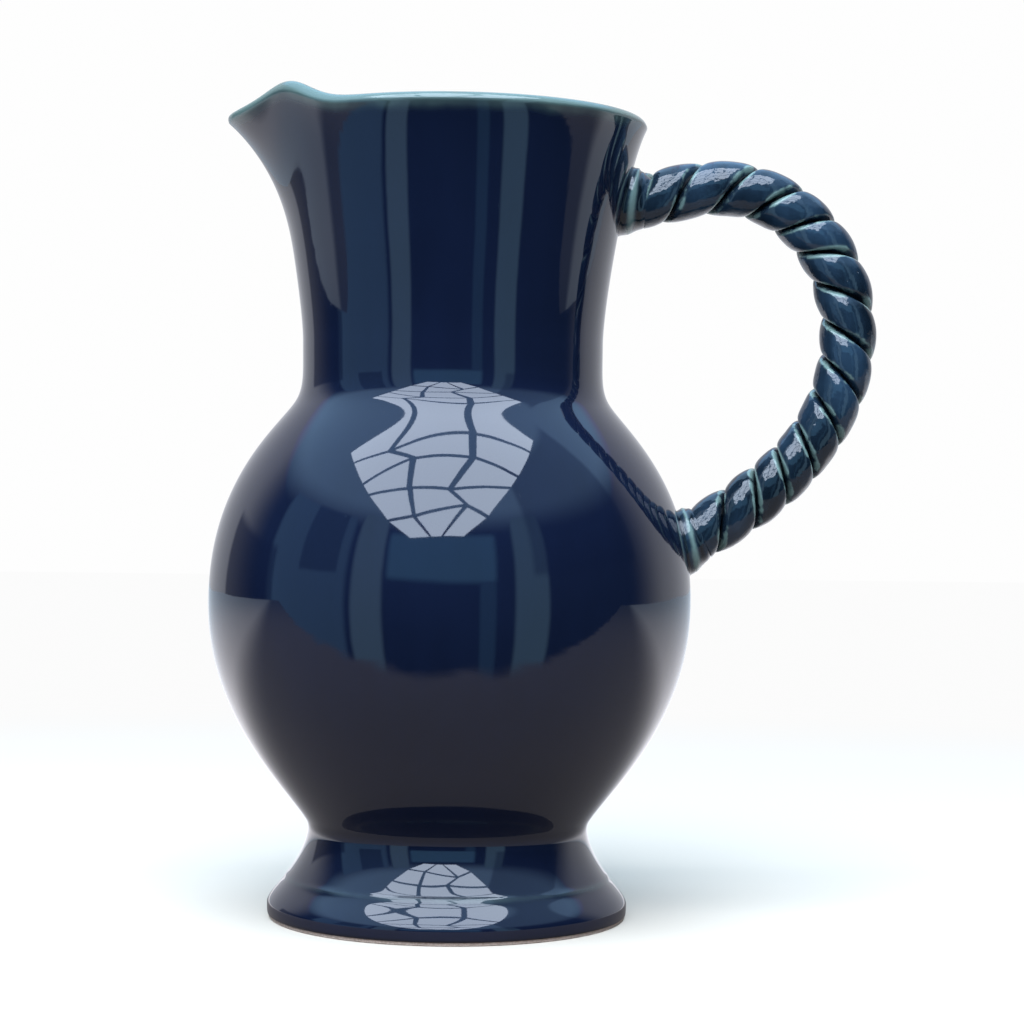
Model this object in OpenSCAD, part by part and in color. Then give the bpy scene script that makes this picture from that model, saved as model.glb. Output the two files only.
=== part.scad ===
// Glazed ceramic pitcher: a flared foot, a round belly, a tall neck with a pulled pouring lip,
// and a handle twisted from two strands of clay, luted on with a collar at each end.
// Millimetres. The origin is on the vessel's own axis, in the plane it stands on.
// +Z is up, +X points to the handle, -X to the pouring lip.

/* [Foot] */
// Height of the foot, from the table to the waist under the belly
foot_h = 29; // [24:0.5:36]
// Radius of the rounded skirt where it is widest
skirt_r = 56.6; // [50:0.2:68]
// Height at which the skirt is widest
skirt_wide_h = 4.5; // [3:0.1:6]
// How far the standing ring's edge is turned in under the skirt
edge_turn_in = 0.7; // [0.3:0.1:2]
// Radius of the throwing ridge between the skirt and the stem
ridge_r = 50.7; // [47:0.1:54]
// Height of the throwing ridge
ridge_h = 12.6; // [10:0.1:15]
// Radius of the waist, where the belly sits on the foot
waist_r = 43.9; // [37:0.1:47]
// Wall thickness of the hollow foot
foot_wall = 5.5; // [4:0.1:8]

/* [Belly] */
// Height of the belly, from the waist to the neck seam
belly_h = 131.6; // [110:0.2:160]
// Radius of the belly at its widest
belly_r = 75.8; // [63:0.2:92]
// Height of the belly's widest point above the waist
belly_wide_h = 70.7; // [56:0.1:82]
// Angle of the belly's underside where it leaves the waist
underside_angle = 60; // [50:1:70]
// Slope of the shoulder where it runs into the neck
shoulder_angle = 54.5; // [45:0.5:65]
// Wall thickness of the belly and the neck
wall = 5; // [4:0.1:7]
// Thickness of the floor inside the belly
floor_t = 7; // [5:0.5:10]

/* [Neck] */
// Height of the neck, from the seam on the belly to the rim
neck_h = 89.8; // [72:0.2:110]
// Outer radius of the neck at the seam
seam_r = 49.9; // [48.5:0.1:53]
// Outer radius of the throat, the neck's narrowest part
throat_r = 47.2; // [42:0.1:48.4]
// Height of the throat above the seam
throat_h = 19.4; // [15:0.1:24]
// Outer radius of the rim, away from the lip
rim_r = 60.4; // [52:0.2:72]
// Angle at which the wall flares out into the rim
rim_flare = 27; // [15:1:32]
// Height of the rounding on the rim
rim_round = 2.8; // [2:0.1:4]

/* [Pouring lip] */
// How far the tip of the lip is pulled out past the rim
lip_reach = 12.3; // [6:0.1:16]
// How sharply that pull grows towards the rim
lip_curl = 2.6; // [1.8:0.1:3.2]
// Height of the neck's top that is pulled forward into the lip
lip_depth = 45; // [35:1:55]
// Half angle of the beak, seen from above
lip_spread = 17; // [13:0.5:22]
// How far the two cheeks beside the lip rise above the rim
cheek_rise = 7; // [3:0.2:10]
// Angle from the tip of the lip to the top of a cheek
cheek_at = 29; // [25:0.5:34]
// Half angle of one cheek
cheek_spread = 15; // [11:0.5:18]
// How far the wall is pressed in behind each cheek
pinch = 1.2; // [0:0.1:2]
// Angle from the tip of the lip to the middle of that press
pinch_at = 49; // [42:0.5:58]

/* [Handle] */
// Height of the handle's upper joint below the rim
top_joint_drop = 24.8; // [22:0.2:32]
// How far the rope rises above its upper joint
handle_rise = 4.7; // [2:0.1:9]
// Distance from the upper joint out to the top of the rope's arch
handle_crest_out = 30.4; // [24:0.2:36]
// How far the rope's centreline stands out from the belly's widest point
handle_stand = 49.1; // [44:0.2:60]
// Height of the rope's outermost point below the rim
handle_wide_drop = 65.7; // [58:0.2:74]
// Height of the handle's lower joint above the belly's widest point
low_joint_h = 18.5; // [14:0.2:23]
// Length of the straight run up from the lower joint
low_run = 30.9; // [26:0.2:36]
// Slope of that run
low_run_angle = 34; // [28:1:42]

/* [Rope] */
// Radius of the rope over the crest of a strand
rope_r = 8.85; // [7:0.05:10]
// Width of one strand, measured round the rope
strand_w = 15.6; // [13:0.1:17]
// Distance from the rope's centreline to the middle of a strand
strand_offset = 2.95; // [2.4:0.05:3.4]
// Length of one full turn of the twist
twist_pitch = 25.7; // [22:0.1:32]
// Distance from the neck to the first crease on the handle's side
first_crease = 20.2; // [15:0.1:26]

/* [Collars] */
// Radius of the upper collar where it meets the neck
upper_collar_r = 11; // [9.6:0.1:12.5]
// Radius of the lower collar where it meets the belly
lower_collar_r = 10.2; // [9.6:0.1:12]
// How far the flat that the strands end on stands out round the rope
collar_lip = 0.6; // [0.3:0.1:1.5]
// Distance from the pot's surface to that flat, on the rope's centreline
collar_len = 5.6; // [4:0.1:8]

/* [Hidden] */

glaze = [0.07, 0.14, 0.25];
glaze_teal = [0.12, 0.25, 0.32];
$fn = 96;

neck_columns = 80;     // facets round the neck
strand_arc = 16;       // facets round one strand
rings_per_turn = 14;   // rings of points in one turn of the twist
handle_steps = 40;     // steps along each stretch of the handle's centreline
buried = 10;           // length of a collar blank inside the wall, which the saddle cut removes
heading_step = 0.8;    // distance over which the rope's direction is taken

// share of a stretch over which its curve keeps the direction of its end, from the table up
underside_full = 0.55;
shoulder_full = 0.59;
// the same along the handle, from the neck to the belly
root_full = 0.4;
root_climb = 0.3;
crest_full = 0.42;
bend_full = 0.575;
side_full = 0.54;
fall_full = 0.47;

// how far each curve of the outline keeps to its direction at one end, which sets how full it is
underside_pull = 12.1;
shoulder_pull = 10;
neck_foot_pull = 5.7;
throat_pull = 10;
flare_start_pull = 13;
flare_end_pull = 12;
stem_pull = 7.7;
knee_pull = 15.2;
low_pull = 11;
knee_lean = 5;         // how much steeper the rope runs at the knee than the line down to its joint

waist_z = foot_h;
widest_z = waist_z + belly_wide_h;
seam_z = waist_z + belly_h;
throat_z = seam_z + throat_h;
rim_z = seam_z + neck_h;
floor_z = waist_z + floor_t;
stand_r = skirt_r - edge_turn_in;

// A cubic curve through four control points, as a list of n + 1 points
function curve(a, b, c, d, n) = [for (i = [0:n]) let (t = i / n, s = 1 - t)
    s * s * s * a + 3 * s * s * t * b + 3 * s * t * t * c + t * t * t * d];
function tail(points) = [for (i = [1:1:len(points) - 1]) points[i]];
function reversed(points) = [for (i = [len(points) - 1:-1:0]) points[i]];
// A step of the given length in the direction of an angle from the first axis
function step(length, angle) = length * [cos(angle), sin(angle)];
function unit(v) = v / norm(v);
// A path moved to its left by a distance, point by point along its own normals
function moved_left(path, by) = [for (i = [0:len(path) - 1])
    let (d = unit(path[min(i + 1, len(path) - 1)] - path[max(i - 1, 0)])) path[i] + by * [-d[1], d[0]]];
function between(points, low, high) = [for (p = points) if (p[1] > low && p[1] < high) p];

// ---- the pot's outline, as radius and height, from the table up ----
foot_outline = concat(
    [[stand_r, 0], [skirt_r - 0.1, 1]],
    curve([skirt_r, skirt_wide_h], [skirt_r - 0.4, skirt_wide_h + 2.2],
          [ridge_r + 1.8, ridge_h - 2.6], [ridge_r, ridge_h], 7),
    tail(curve([ridge_r, ridge_h], [ridge_r - 1, ridge_h + 1.8],
               [waist_r, waist_z - stem_pull], [waist_r, waist_z], 9)));
belly_outline = concat(
    curve([waist_r, waist_z], [waist_r, waist_z] + step(underside_pull, underside_angle),
          [belly_r, widest_z - underside_full * belly_wide_h], [belly_r, widest_z], 18),
    tail(curve([belly_r, widest_z], [belly_r, widest_z + shoulder_full * (seam_z - widest_z)],
               [seam_r, seam_z] - step(shoulder_pull, 180 - shoulder_angle), [seam_r, seam_z], 16)));
flare_top = [rim_r - 0.3, rim_z - rim_round];
neck_outline = concat(
    curve([seam_r, seam_z], [seam_r, seam_z] + step(neck_foot_pull, 180 - shoulder_angle),
          [throat_r, throat_z - throat_pull], [throat_r, throat_z], 5),
    tail(curve([throat_r, throat_z], [throat_r, throat_z + flare_start_pull],
               flare_top - step(flare_end_pull, 90 - rim_flare), flare_top, 13)));

// ---- the hollow inside it ----
seam_wall = wall / sin(shoulder_angle);      // the wall's width where the seam cuts it level
inside = moved_left(concat(belly_outline, tail(neck_outline)), wall);
belly_side = between(inside, floor_z + wall, seam_z);
belly_floor = curve([0, floor_z], [waist_r - 2 * wall, floor_z], belly_side[0] - [4, 5], belly_side[0], 6);
rim_middle = rim_r - wall / 2;
rim_arc = [for (a = [30:30:150]) [rim_middle + wall / 2 * cos(a), flare_top[1] + rim_round * sin(a)]];
neck_side = between(inside, seam_z, rim_z - rim_round - 1);

module pot_section(points) rotate_extrude() polygon(points);

module foot() {
    color(glaze)
        pot_section(concat(
            foot_outline,
            [[waist_r - foot_wall, waist_z]],
            reversed(between(moved_left(foot_outline, foot_wall), foot_wall, waist_z - 2)),
            [[stand_r - foot_wall, 0]]));
}

module belly() {
    color(glaze)
        pot_section(concat(
            [[0, waist_z]],
            belly_outline,
            [[seam_r - seam_wall, seam_z]],
            reversed(belly_side),
            reversed([for (i = [0:len(belly_floor) - 2]) belly_floor[i]])));
}

// ---- the neck: its section is swept round, and pulled forward and up at the lip ----
neck_section = concat(neck_outline, rim_arc, reversed(neck_side), [[seam_r - seam_wall, seam_z]]);
function bump(angle, spread) = exp(-pow(angle / spread, 2));
function lip_pull(height) = pow(max(0, (height - rim_z + lip_depth) / lip_depth), lip_curl);
function lip_out(a) = lip_reach * bump(a, lip_spread) - pinch * bump(a - pinch_at, cheek_spread);
function lip_up(a) = cheek_rise * bump(a - cheek_at, cheek_spread);
function neck_point(p, turn) =
    let (from_tip = abs(turn - 180), pull = lip_pull(p[1]), r = p[0] + pull * lip_out(from_tip))
    [r * cos(turn), r * sin(turn), p[1] + pull * lip_up(from_tip)];

module neck() {
    rows = len(neck_section);
    points = [for (c = [0:neck_columns - 1], p = neck_section) neck_point(p, 360 * c / neck_columns)];
    faces = [for (c = [0:neck_columns - 1], i = [0:rows - 1])
        let (here = c * rows, next = (c + 1) % neck_columns * rows, up = (i + 1) % rows)
        each [[here + i, here + up, next + up], [here + i, next + up, next + i]]];
    color(glaze) polyhedron(points, faces, convexity = 8);
}

// ---- the handle's centreline, in the plane of the lip and the axis ----
function radius_at(outline, z) = lookup(z, [for (p = outline) [p[1], p[0]]]);
top_joint = let (z = rim_z - top_joint_drop) [radius_at(neck_outline, z), z];
low_joint = let (z = widest_z + low_joint_h) [radius_at(belly_outline, z), z];
crest = top_joint + [handle_crest_out, handle_rise];
outermost = [belly_r + handle_stand, rim_z - handle_wide_drop];
knee = low_joint + step(low_run, low_run_angle);
centreline = concat(
    curve(top_joint, top_joint + root_full * [handle_crest_out, root_climb * handle_rise],
          crest - [crest_full * handle_crest_out, 0], crest, handle_steps),
    tail(curve(crest, [crest[0] + bend_full * (outermost[0] - crest[0]), crest[1]],
               [outermost[0], outermost[1] + side_full * (crest[1] - outermost[1])], outermost, handle_steps)),
    tail(curve(outermost, [outermost[0], outermost[1] - fall_full * (outermost[1] - knee[1])],
               knee + step(knee_pull, low_run_angle + knee_lean), knee, handle_steps)),
    tail(curve(knee, knee - step(low_pull, low_run_angle + knee_lean),
               low_joint + step(low_pull, low_run_angle - knee_lean / 2), low_joint, handle_steps)));
// Distance from the upper joint to each point of the centreline
function run_to(i) = i == 0 ? 0 : norm(centreline[i] - centreline[i - 1]);
function sums(steps, i = 0, total = 0) = i == len(steps) ? [] :
    concat([total + steps[i]], sums(steps, i + 1, total + steps[i]));
runs = sums([for (i = [0:len(centreline) - 1]) run_to(i)]);
along_x = [for (i = [0:len(runs) - 1]) [runs[i], centreline[i][0]]];
along_z = [for (i = [0:len(runs) - 1]) [runs[i], centreline[i][1]]];
function at_run(s) = [lookup(s, along_x), lookup(s, along_z)];
function heading(s) = let (d = at_run(s + heading_step) - at_run(s - heading_step)) atan2(d[1], d[0]);
rope_start = collar_len;
rope_end = runs[len(runs) - 1] - collar_len;

// ---- one strand: the outer part of an ellipse, which turns about the centreline as it goes ----
strand_depth = rope_r - strand_offset;
crease_angle = acos(-strand_offset / strand_depth);
strand_outline = concat(
    [for (i = [0:strand_arc]) let (a = crease_angle * (2 * i / strand_arc - 1))
        [strand_offset + strand_depth * cos(a), strand_w / 2 * sin(a)]],
    [[0, 0]]);
ring_count = ceil((rope_end - rope_start) / twist_pitch * rings_per_turn);

// A point of the strand's outline, at a distance along the rope and with its turn about the centreline
function strand_point(p, s, turn) =
    let (middle = at_run(s), rise = heading(s),
         out = p[0] * cos(turn) - p[1] * sin(turn), side = p[0] * sin(turn) + p[1] * cos(turn))
    [middle[0] - out * sin(rise), side, middle[1] + out * cos(rise)];

module strand(start_turn) {
    n = len(strand_outline);
    points = [for (k = [0:ring_count], p = strand_outline)
        let (s = rope_start + (rope_end - rope_start) * k / ring_count)
        strand_point(p, s, start_turn + 360 * (s - first_crease) / twist_pitch)];
    // the two flat quads that face the other strand are split towards the centreline,
    // so both strands have the same triangles there
    sides = [for (k = [0:ring_count - 1], i = [0:n - 1])
        let (a = k * n + i, b = k * n + (i + 1) % n, c = b + n, d = a + n)
        each i == n - 2 ? [[a, b, c], [a, c, d]] : [[a, b, d], [b, c, d]]];
    // each end is a fan from its point on the centreline, the last of the outline
    last = ring_count * n;
    ends = [for (i = [0:n - 3]) each [[n - 1, i + 1, i], [last + n - 1, last + i, last + i + 1]]];
    color(glaze_teal) polyhedron(points, concat(sides, ends), convexity = 10);
}

module rope_strand_a() strand(0);
module rope_strand_b() strand(180);

// ---- a collar: a short ring of clay round the rope's end, saddled on to the pot's wall ----
module pot_solid(outline) pot_section(concat(
    outline, [[0, outline[len(outline) - 1][1]], [0, outline[0][1]]]));

module collar(end, away, base_r, outline) {
    face_r = rope_r + collar_lip;
    color(glaze_teal)
        difference() {
            translate([end[0], 0, end[1]])
                rotate([0, 90 - away, 0])
                    rotate_extrude()
                        polygon([[0, 0], [face_r - 0.3, 0], [face_r, -0.8], [base_r, -collar_len],
                                 [base_r, -collar_len - buried], [0, -collar_len - buried]]);
            pot_solid(outline);
        }
}
module upper_collar() collar(at_run(rope_start), heading(rope_start), upper_collar_r, neck_outline);
module lower_collar() collar(at_run(rope_end), heading(rope_end) + 180, lower_collar_r, belly_outline);

foot();
belly();
neck();
upper_collar();
lower_collar();
rope_strand_a();
rope_strand_b();
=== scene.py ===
import bpy, math
import numpy as np
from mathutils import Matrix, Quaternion, Vector


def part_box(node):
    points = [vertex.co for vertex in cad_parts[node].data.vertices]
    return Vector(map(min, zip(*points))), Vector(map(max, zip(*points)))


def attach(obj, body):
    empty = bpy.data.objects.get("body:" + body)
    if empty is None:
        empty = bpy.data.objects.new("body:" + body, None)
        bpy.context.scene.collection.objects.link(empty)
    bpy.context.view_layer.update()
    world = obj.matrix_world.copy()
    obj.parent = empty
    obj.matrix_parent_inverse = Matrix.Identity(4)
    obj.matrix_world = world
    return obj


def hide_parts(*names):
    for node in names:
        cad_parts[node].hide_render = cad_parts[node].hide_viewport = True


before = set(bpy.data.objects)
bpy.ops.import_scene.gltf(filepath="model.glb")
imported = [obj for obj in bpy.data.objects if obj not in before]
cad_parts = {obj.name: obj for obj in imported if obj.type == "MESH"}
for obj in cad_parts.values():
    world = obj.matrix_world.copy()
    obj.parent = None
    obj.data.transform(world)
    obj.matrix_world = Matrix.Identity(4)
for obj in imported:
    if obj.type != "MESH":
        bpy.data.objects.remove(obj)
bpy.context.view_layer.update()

# Glazed pitcher: a thrown foot, belly and neck with a pulled lip, and a handle of two twisted strands.
# Outlines are worked out in millimetres, and meshes are in metres: Z up, X towards the handle.
mm = 0.001
print("frame loaded")


# Small helpers for node trees
def addNode(tree, kind, **settings):
    node = tree.nodes.new(kind)
    for name, value in settings.items():
        setattr(node, name, value)
    return node


def feed(tree, socket, value):
    if isinstance(value, bpy.types.NodeSocket):
        tree.links.new(value, socket)
    else:
        socket.default_value = value


def calc(tree, operation, *values):
    node = addNode(tree, "ShaderNodeMath", operation=operation)
    for socket, value in zip(node.inputs, values):
        feed(tree, socket, value)
    return node.outputs[0]


def vectorCalc(tree, operation, *values):
    node = addNode(tree, "ShaderNodeVectorMath", operation=operation)
    sockets = [node.inputs[0], node.inputs["Scale"]] if operation == "SCALE" else node.inputs
    for socket, value in zip(sockets, values):
        feed(tree, socket, value)
    return node.outputs["Value" if operation in ("DOT_PRODUCT", "LENGTH") else "Vector"]


def ramp(tree, value, fromLow, fromHigh, toLow=0.0, toHigh=1.0, smooth=True):
    node = addNode(tree, "ShaderNodeMapRange", interpolation_type="SMOOTHSTEP" if smooth else "LINEAR")
    for name, number in (("Value", value), ("From Min", fromLow), ("From Max", fromHigh),
                         ("To Min", toLow), ("To Max", toHigh)):
        feed(tree, node.inputs[name], number)
    return node.outputs["Result"]


def combine(tree, x, y, z):
    node = addNode(tree, "ShaderNodeCombineXYZ")
    for socket, value in zip(node.inputs, (x, y, z)):
        feed(tree, socket, value)
    return node.outputs[0]


def split(tree, vector):
    node = addNode(tree, "ShaderNodeSeparateXYZ")
    feed(tree, node.inputs[0], vector)
    return node.outputs


def blendColors(tree, share, first, second):
    node = addNode(tree, "ShaderNodeMix", data_type="RGBA")
    for number, value in ((0, share), (6, first), (7, second)):
        feed(tree, node.inputs[number], value)
    return node.outputs[2]


def blendShaders(tree, share, first, second):
    node = addNode(tree, "ShaderNodeMixShader")
    for number, value in enumerate((share, first, second)):
        feed(tree, node.inputs[number], value)
    return node.outputs[0]


def noise(tree, vector, scale, detail=2.0):
    node = addNode(tree, "ShaderNodeTexNoise")
    feed(tree, node.inputs["Vector"], vector)
    feed(tree, node.inputs["Scale"], scale)
    feed(tree, node.inputs["Detail"], detail)
    return node.outputs["Fac"]


# A hump of height 1 where distance is 0
def hump(tree, distance, spread):
    ratio = calc(tree, "DIVIDE", distance, spread)
    return calc(tree, "EXPONENT", calc(tree, "MULTIPLY", calc(tree, "MULTIPLY", ratio, ratio), -1.0))


def newTree(name, sockets):
    tree = bpy.data.node_groups.new(name, "GeometryNodeTree")
    tree.interface.new_socket("Geometry", in_out="OUTPUT", socket_type="NodeSocketGeometry")
    tree.interface.new_socket("Geometry", in_out="INPUT", socket_type="NodeSocketGeometry")
    for label, kind in sockets.items():
        tree.interface.new_socket(label, in_out="INPUT", socket_type="NodeSocket" + kind)
    return tree, addNode(tree, "NodeGroupInput").outputs


# Closes the mesh, sets which edges stay crisp and gives it its glaze
def endTree(tree, geometry, glaze):
    closed = addNode(tree, "GeometryNodeMergeByDistance")
    feed(tree, closed.inputs["Geometry"], geometry)
    feed(tree, closed.inputs["Distance"], 0.5e-6)
    soft = addNode(tree, "GeometryNodeSetShadeSmooth", domain="FACE")
    feed(tree, soft.inputs["Geometry"], closed.outputs["Geometry"])
    edgeAngle = addNode(tree, "GeometryNodeInputMeshEdgeAngle").outputs["Unsigned Angle"]
    crisp = addNode(tree, "GeometryNodeSetShadeSmooth", domain="EDGE")
    feed(tree, crisp.inputs["Geometry"], soft.outputs["Geometry"])
    feed(tree, crisp.inputs["Shade Smooth"], calc(tree, "LESS_THAN", edgeAngle, math.radians(42)))
    real = addNode(tree, "GeometryNodeRealizeInstances")
    feed(tree, real.inputs["Geometry"], crisp.outputs["Geometry"])
    coat = addNode(tree, "GeometryNodeSetMaterial")
    feed(tree, coat.inputs["Geometry"], real.outputs["Geometry"])
    feed(tree, coat.inputs["Material"], glaze)
    feed(tree, addNode(tree, "NodeGroupOutput").inputs["Geometry"], coat.outputs["Geometry"])


# A sheet of rows and columns, with the row and column number of each of its points
def rowsAndColumns(tree, rows, columns):
    around = calc(tree, "ADD", columns, 1.0)
    grid = addNode(tree, "GeometryNodeMeshGrid")
    feed(tree, grid.inputs["Vertices X"], rows)
    feed(tree, grid.inputs["Vertices Y"], around)
    index = addNode(tree, "GeometryNodeInputIndex").outputs["Index"]
    row = calc(tree, "FLOOR", calc(tree, "DIVIDE", calc(tree, "ADD", index, 0.5), around))
    column = calc(tree, "SUBTRACT", index, calc(tree, "MULTIPLY", row, around))
    return grid.outputs["Mesh"], row, column


def place(tree, geometry, position):
    node = addNode(tree, "GeometryNodeSetPosition")
    feed(tree, node.inputs["Geometry"], geometry)
    feed(tree, node.inputs["Position"], position)
    return node.outputs["Geometry"]


def keep(tree, geometry, name, value):
    node = addNode(tree, "GeometryNodeStoreNamedAttribute", data_type="FLOAT", domain="POINT")
    feed(tree, node.inputs["Geometry"], geometry)
    feed(tree, node.inputs["Name"], name)
    feed(tree, node.inputs["Value"], value)
    return node.outputs["Geometry"]


def stored(tree, name, kind="FLOAT"):
    node = addNode(tree, "GeometryNodeInputNamedAttribute", data_type=kind)
    feed(tree, node.inputs["Name"], name)
    return node.outputs["Attribute"]


# What a row takes from the outline's point of the same number
def fromOutline(tree, outline, row, value, kind):
    node = addNode(tree, "GeometryNodeSampleIndex", data_type=kind, domain="POINT")
    feed(tree, node.inputs["Geometry"], outline)
    feed(tree, node.inputs["Value"], value)
    feed(tree, node.inputs["Index"], row)
    return node.outputs["Value"]


# A chain of points as a mesh that a tree can start from, with marks at each point
def outlineMesh(name, points, **marks):
    mesh = bpy.data.meshes.new(name)
    mesh.from_pydata([tuple(p) for p in points], [(i, i + 1) for i in range(len(points) - 1)], [])
    for label, values in marks.items():
        values = np.asarray(values, np.float32)
        kind, field = ("FLOAT", "value") if values.ndim == 1 else ("FLOAT_VECTOR", "vector")
        mesh.attributes.new(label, kind, "POINT").data.foreach_set(field, values.ravel())
    return mesh


# Runs a tree on a starting mesh and keeps the result as a plain mesh piece
def grow(name, start, tree, values):
    seed = bpy.data.objects.new(name + "Start", start)
    bpy.context.scene.collection.objects.link(seed)
    modifier = seed.modifiers.new("grow", "NODES")
    modifier.node_group = tree
    for item in tree.interface.items_tree:
        if item.in_out == "INPUT" and item.name in values:
            modifier[item.identifier] = values[item.name]
    seed.update_tag()
    mesh = bpy.data.meshes.new_from_object(seed.evaluated_get(bpy.context.evaluated_depsgraph_get()))
    mesh.name = name
    seed.modifiers.remove(modifier)
    bpy.data.objects.remove(seed)
    piece = bpy.data.objects.new(name, mesh)
    bpy.context.scene.collection.objects.link(piece)
    print(name, len(mesh.polygons), "faces")
    return piece


# Curves, worked out in millimetres. Ease gathers the points towards both ends
def curve(a, b, c, d, count, ease=0.0):
    t = np.linspace(0, 1, count + 1)
    t = (t - ease * np.sin(2 * math.pi * t) / (2 * math.pi))[:, None]
    a, b, c, d = (np.array(p, float) for p in (a, b, c, d))
    return (1 - t) ** 3 * a + 3 * (1 - t) ** 2 * t * b + 3 * (1 - t) * t * t * c + t ** 3 * d


def stepTo(length, angle):
    return length * np.array([math.cos(math.radians(angle)), math.sin(math.radians(angle))])


def chain(*parts):
    return np.vstack([parts[0]] + [part[1:] for part in parts[1:]])


def runLength(path):
    return np.r_[0, np.cumsum(np.linalg.norm(np.diff(path, axis=0), axis=1))]


def movedLeft(path, distance):
    way = np.gradient(path, axis=0)
    way /= np.linalg.norm(way, axis=1)[:, None]
    return path + distance * np.c_[-way[:, 1], way[:, 0]]


def between(path, low, high):
    return path[(path[:, 1] > low) & (path[:, 1] < high)]


# Rounds the corner that a path has at one of its points
def softened(path, corner, reach):
    run = runLength(path)
    near = np.exp(-((run - run[corner]) / (2.5 * reach)) ** 2)
    spread = np.linspace(-2, 2, 33)
    share = np.exp(-spread ** 2) / np.exp(-spread ** 2).sum()
    looked = run[:, None] + spread * (reach * near)[:, None]
    return np.c_[(np.interp(looked, run, path[:, 0]) * share).sum(1),
                 (np.interp(looked, run, path[:, 1]) * share).sum(1)]


# Radius and height as points in the plane of the axis, in metres
def inPlane(path):
    return np.c_[path[:, 0], np.zeros(len(path)), path[:, 1]] * mm


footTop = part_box("foot")[1]
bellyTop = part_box("belly")[1]

foot = {
    "skirtRadius": footTop[0] / mm, "skirtHeight": 4.5,
    "clayInset": 0.5, "glazeLine": 1.1,     # bare clay below the glaze line, a little inside the glaze
    "ridgeRadius": 50.7, "ridgeHeight": 12.6, "ridgeBead": 0.25,
    "waistRadius": 43.9, "waistHeight": footTop[2] / mm, "wall": 5.5,
    "Columns": 288,
}
belly = {
    "radius": bellyTop[1] / mm, "widestHeight": foot["waistHeight"] + 70.7,
    "undersideAngle": 60, "shoulderAngle": 54.5, "undersidePull": 12.1, "shoulderPull": 10,
    "undersideFull": 0.55, "shoulderFull": 0.59,
    "seamHeight": bellyTop[2] / mm, "wall": 5.0, "floor": 7.0,
    "Columns": 228,
}
neck = {
    "seamRadius": 49.9, "throatRadius": 47.2, "throatHeight": belly["seamHeight"] + 19.4,
    "rimRadius": 60.4, "rimHeight": belly["seamHeight"] + 89.8, "rimFlare": 27, "rimRound": 2.8,
    "Columns": 360, "Lip Depth": 45 * mm, "Lip Curl": 2.6, "Lip Reach": 12.3 * mm,
    "Lip Spread": math.radians(17),
    "Cheek Rise": 7 * mm, "Cheek Angle": math.radians(29), "Cheek Spread": math.radians(15),
    "Pinch": 1.2 * mm, "Pinch Angle": math.radians(49),
}

waistPoint = [foot["waistRadius"], foot["waistHeight"]]
ridgePoint = [foot["ridgeRadius"], foot["ridgeHeight"]]
skirtPoint = [foot["skirtRadius"], foot["skirtHeight"]]
widestPoint = [belly["radius"], belly["widestHeight"]]
seamPoint = [neck["seamRadius"], belly["seamHeight"]]
throatPoint = [neck["throatRadius"], neck["throatHeight"]]
flareTop = np.array([neck["rimRadius"] - 0.3, neck["rimHeight"] - neck["rimRound"]])

clayRadius = foot["skirtRadius"] - foot["clayInset"]
glazeLine = foot["glazeLine"]
skirtOutline = chain(
    np.array([[clayRadius - 0.3, 0], [clayRadius - 0.05, 0.2], [clayRadius, glazeLine],
              [clayRadius + 0.3, glazeLine + 0.05]]),
    curve([clayRadius + 0.3, glazeLine + 0.05], [clayRadius + 0.5, glazeLine + 0.4],
          [skirtPoint[0], 3], skirtPoint, 10),
    curve(skirtPoint, [skirtPoint[0] - 0.4, skirtPoint[1] + 2.2],
          [ridgePoint[0] + 1.8, ridgePoint[1] - 2.6], ridgePoint, 24))
stemOutline = curve(ridgePoint, [ridgePoint[0] - 1, ridgePoint[1] + 1.8],
                    [waistPoint[0], waistPoint[1] - 7.7], waistPoint, 40, 0.6)
undersideKeep = belly["undersideFull"] * (widestPoint[1] - waistPoint[1])
undersideOutline = curve(waistPoint, waistPoint + stepTo(belly["undersidePull"], belly["undersideAngle"]),
                         [belly["radius"], widestPoint[1] - undersideKeep], widestPoint, 100, 0.6)
lowerOutline = softened(chain(skirtOutline, stemOutline, undersideOutline),
                        len(skirtOutline) + len(stemOutline) - 2, 2.0)
above = lowerOutline[:, 1] > foot["waistHeight"]
waistPoint = [np.interp(foot["waistHeight"], lowerOutline[:, 1], lowerOutline[:, 0]), foot["waistHeight"]]
footOutline = np.vstack([lowerOutline[~above], waistPoint])
footOutline[:, 0] += foot["ridgeBead"] * np.exp(-((footOutline[:, 1] - foot["ridgeHeight"]) / 0.9) ** 2)
shoulderEnd = seamPoint - stepTo(belly["shoulderPull"], 180 - belly["shoulderAngle"])
shoulderKeep = belly["shoulderFull"] * (seamPoint[1] - widestPoint[1])
bellyOutline = chain(
    np.vstack([waistPoint, lowerOutline[above]]),
    curve(widestPoint, [belly["radius"], widestPoint[1] + shoulderKeep], shoulderEnd, seamPoint, 110, 0.85))
neckOutline = chain(
    curve(seamPoint, seamPoint + stepTo(5.7, 180 - belly["shoulderAngle"]),
          [throatPoint[0], throatPoint[1] - 10], throatPoint, 40, 0.85),
    curve(throatPoint, [throatPoint[0], throatPoint[1] + 13],
          flareTop - stepTo(12, 90 - neck["rimFlare"]), flareTop, 80, 0.4))

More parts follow.
